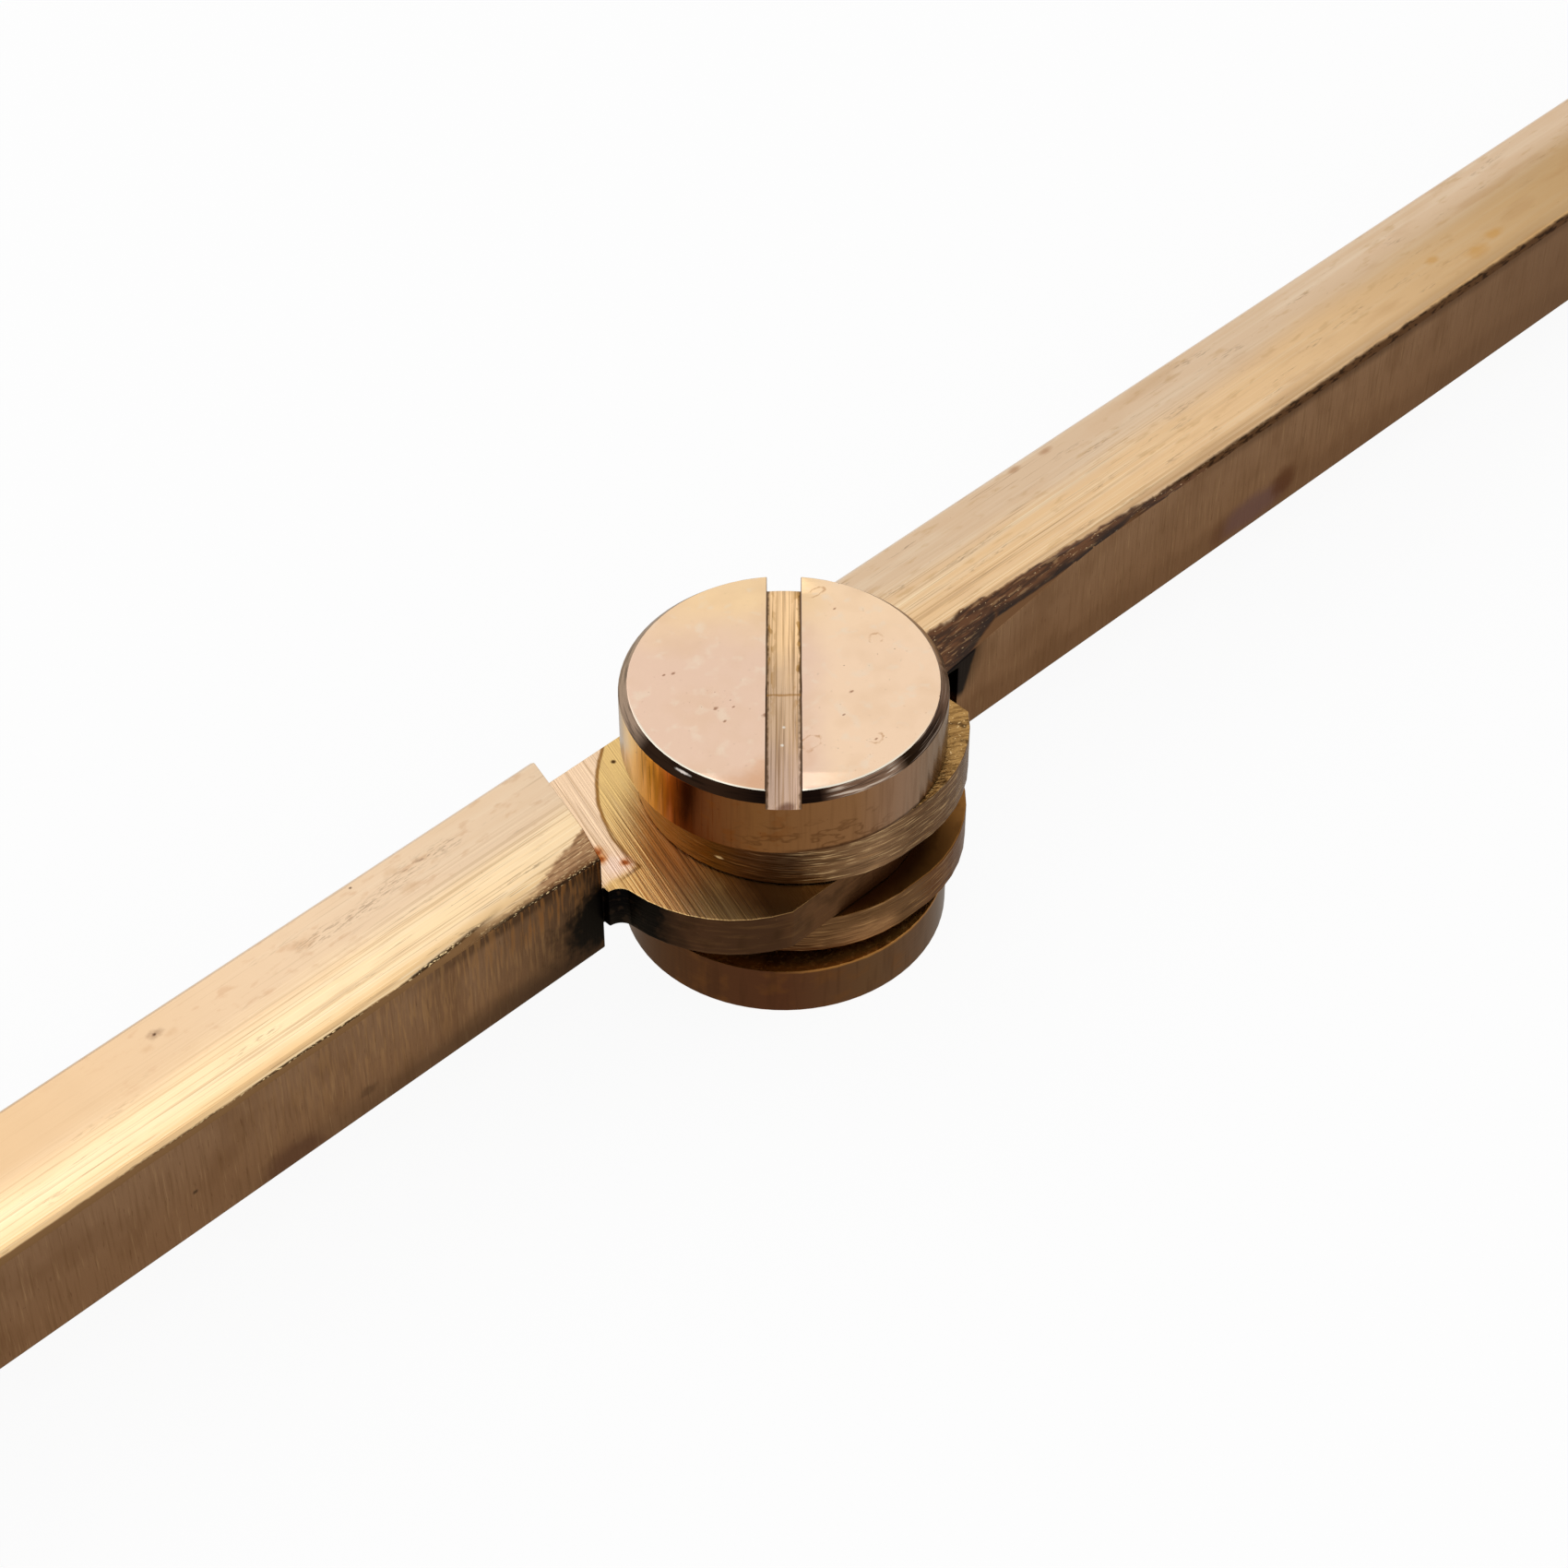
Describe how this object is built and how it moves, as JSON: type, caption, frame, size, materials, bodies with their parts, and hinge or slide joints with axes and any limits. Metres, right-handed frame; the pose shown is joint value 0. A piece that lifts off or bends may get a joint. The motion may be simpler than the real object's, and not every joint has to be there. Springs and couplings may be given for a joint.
{
  "type": "nautical divider",
  "caption": "Straight chart divider with square brass legs, steel points and a knuckle hinge under a slotted screw, opened flat.",
  "frame": {"origin": "centre of the barrel nut's flat underside, on the hinge axis", "axes": "+Z along the hinge axis up to the slotted head, +X along the forked leg, -X along the tongue leg while the divider is open flat; the legs close through -Y"},
  "size_m": [0.3398, 0.013, 0.0119],
  "materials": {
    "leg_brass": "drawn bar, file-brushed lengthwise, bare and lightly tarnished",
    "turned_brass": "turned and polished, lightly stained",
    "washer_bronze": "rolled spring bronze, dull",
    "pin_brass": "drawn wire, filed flush",
    "point_steel": "hardened and ground, bright"
  },
  "bodies": {
    "forked_leg": {"fork_leg": "leg_brass", "barrel_nut": "turned_brass", "friction_washer": "washer_bronze", "fork_point": "point_steel", "fork_point_pin": "pin_brass"},
    "tongued_leg": {"tongue_leg": "leg_brass", "tongue_point": "point_steel", "tongue_point_pin": "pin_brass"},
    "screw": {"pivot_screw": "turned_brass"}
  },
  "joints": [
    {"name": "leg_hinge", "type": "hinge", "parent": "forked_leg", "child": "tongued_leg", "pos_m": [0, 0, 0], "axis": [0, 0, 1], "range_deg": [0, 180]},
    {"name": "screw_turn", "type": "hinge", "parent": "forked_leg", "child": "screw", "pos_m": [0, 0, 0], "axis": [0, 0, 1], "range_deg": [-45, 45]}
  ]
}
